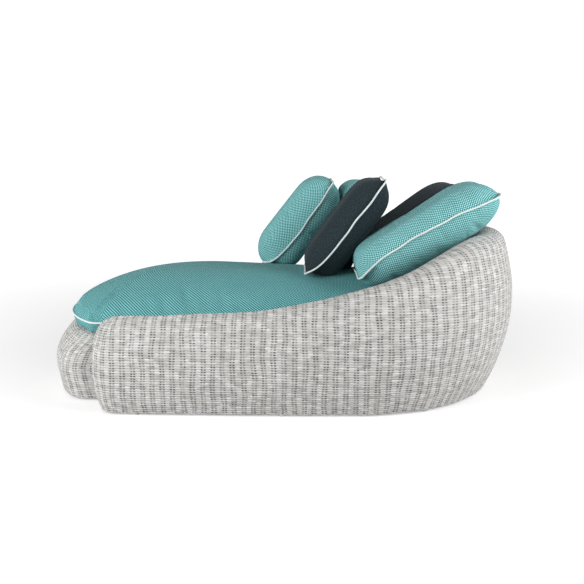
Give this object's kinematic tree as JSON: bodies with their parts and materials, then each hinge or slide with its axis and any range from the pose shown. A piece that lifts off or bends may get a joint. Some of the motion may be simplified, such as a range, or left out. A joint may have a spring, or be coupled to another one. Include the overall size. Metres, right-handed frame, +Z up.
{
  "type": "garden sofa",
  "caption": "Low woven lounge sofa with a wall that rises from an arm to a round back, a rounded platform, a seat cushion and loose back cushions.",
  "frame": {"origin": "on the floor, under the middle of the sofa's outer box", "axes": "+X towards the high back, -Y towards the side with the long arm, +Z up"},
  "size_m": [2.1483, 1.3989, 0.9648],
  "materials": {
    "weave": "woven",
    "frame": "powder coated",
    "screws": "plain",
    "feet": "moulded",
    "aqua_cloth": "woven check",
    "charcoal_cloth": "woven heather",
    "piping": "corded",
    "filling": "foam",
    "zip": "coil zip"
  },
  "bodies": {
    "sofa": {"arm_and_back_weave": "weave", "arm_end_weave": "weave", "wing_end_weave": "weave", "platform_weave": "weave", "deck_weave": "weave", "wall_foot_tube": "frame", "wall_rim_tube": "frame", "wall_posts": "frame", "platform_foot_tube": "frame", "platform_deck_tube": "frame", "platform_posts": "frame", "deck_crossbars": "frame", "tie_plates": "frame", "tie_screws": "screws", "feet": "feet", "foot_screws": "screws"},
    "seat_cushion": {"seat_cushion_cover": "aqua_cloth", "seat_cushion_foam": "filling", "seat_cushion_piping": "piping", "seat_cushion_zip": "zip"},
    "front_cushion": {"front_cushion_cover": "aqua_cloth", "front_cushion_fill": "filling", "front_cushion_piping": "piping", "front_cushion_zip": "zip"},
    "far_cushion": {"far_cushion_cover": "aqua_cloth", "far_cushion_fill": "filling", "far_cushion_piping": "piping", "far_cushion_zip": "zip"},
    "middle_cushion": {"middle_cushion_cover": "charcoal_cloth", "middle_cushion_fill": "filling", "middle_cushion_piping": "piping", "middle_cushion_zip": "zip"},
    "rear_cushion": {"rear_cushion_cover": "charcoal_cloth", "rear_cushion_fill": "filling", "rear_cushion_piping": "piping", "rear_cushion_zip": "zip"},
    "near_cushion": {"near_cushion_cover": "aqua_cloth", "near_cushion_fill": "filling", "near_cushion_piping": "piping", "near_cushion_zip": "zip"}
  },
  "joints": [
    {"name": "seat_cushion_lift", "type": "slide", "parent": "sofa", "child": "seat_cushion", "axis": [0, 0, 1], "range_m": [0, 0.4]},
    {"name": "front_cushion_lift", "type": "slide", "parent": "seat_cushion", "child": "front_cushion", "axis": [0.6157, 0, 0.788], "range_m": [0, 0.45]},
    {"name": "far_cushion_lift", "type": "slide", "parent": "seat_cushion", "child": "far_cushion", "axis": [0.587, 0.0308, 0.809], "range_m": [0, 0.45]},
    {"name": "middle_cushion_lift", "type": "slide", "parent": "seat_cushion", "child": "middle_cushion", "axis": [0.6018, 0, 0.7986], "range_m": [0, 0.45]},
    {"name": "rear_cushion_lift", "type": "slide", "parent": "seat_cushion", "child": "rear_cushion", "axis": [0.8112, 0.114, 0.5736], "range_m": [0, 0.45]},
    {"name": "near_cushion_lift", "type": "slide", "parent": "seat_cushion", "child": "near_cushion", "axis": [0.8572, 0, 0.515], "range_m": [0, 0.45]}
  ]
}
